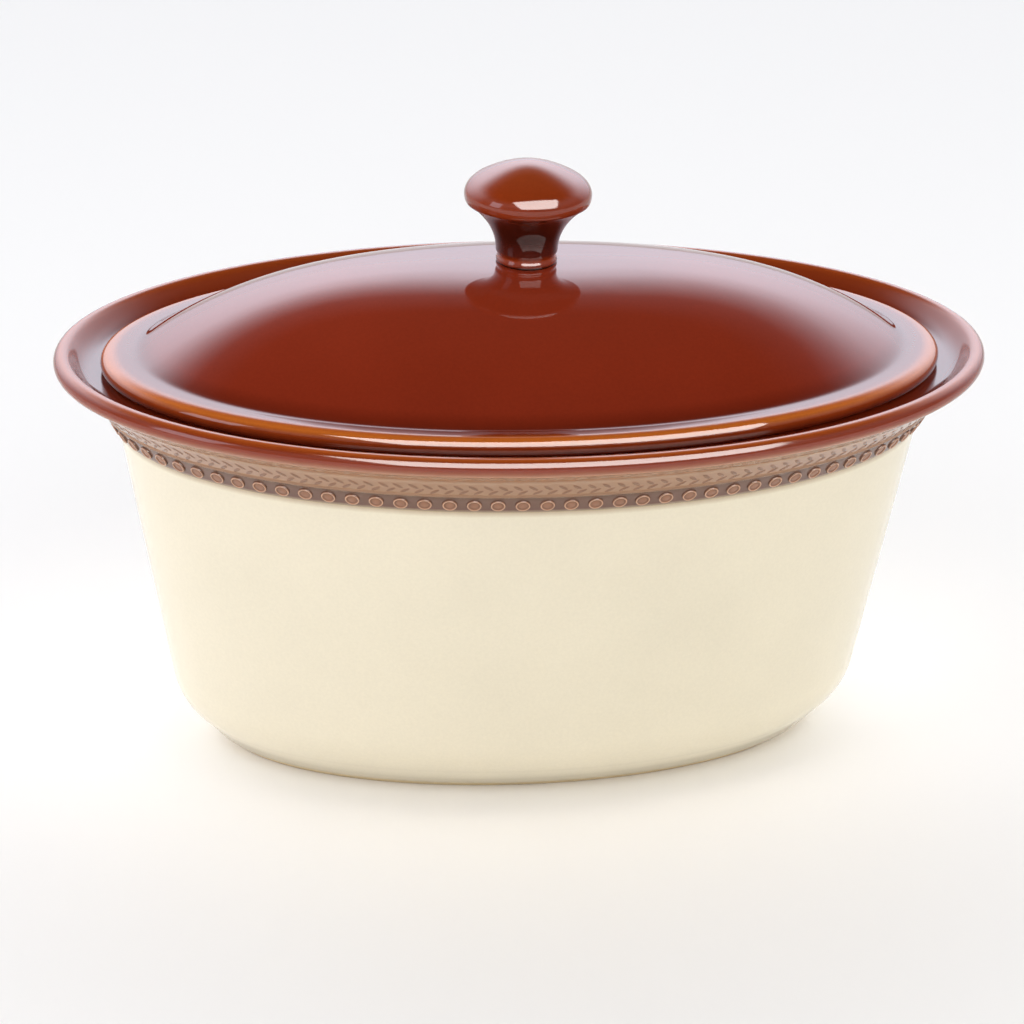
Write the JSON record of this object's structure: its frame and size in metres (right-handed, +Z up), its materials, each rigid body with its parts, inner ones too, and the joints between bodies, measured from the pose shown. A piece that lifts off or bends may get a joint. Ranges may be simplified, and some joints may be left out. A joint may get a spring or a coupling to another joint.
{
  "type": "covered casserole dish",
  "caption": "Deep oval stoneware casserole dish with a flared rim and a domed lid that lifts off by a turned knob, for baking and serving.",
  "frame": {"origin": "on the table, at the middle of the oval dish's underside", "axes": "+Z up along the way the lid lifts, +X along the long axis of the oval, +Y across it"},
  "size_m": [0.33, 0.2156, 0.2166],
  "materials": {
    "cream_glaze": "glossy cream glaze on stoneware, with glossy red-brown glaze over the rim and a tan relief band under it",
    "brown_glaze": "glossy red-brown glaze on stoneware, thinner and amber along edges, darker in hollows"
  },
  "bodies": {
    "dish": {"dish": "cream_glaze"},
    "lid": {"lid": "brown_glaze", "knob": "brown_glaze"}
  },
  "joints": [
    {"name": "lid_lift", "type": "slide", "parent": "dish", "child": "lid", "axis": [0, 0, 1], "range_m": [0, 0.15]}
  ]
}
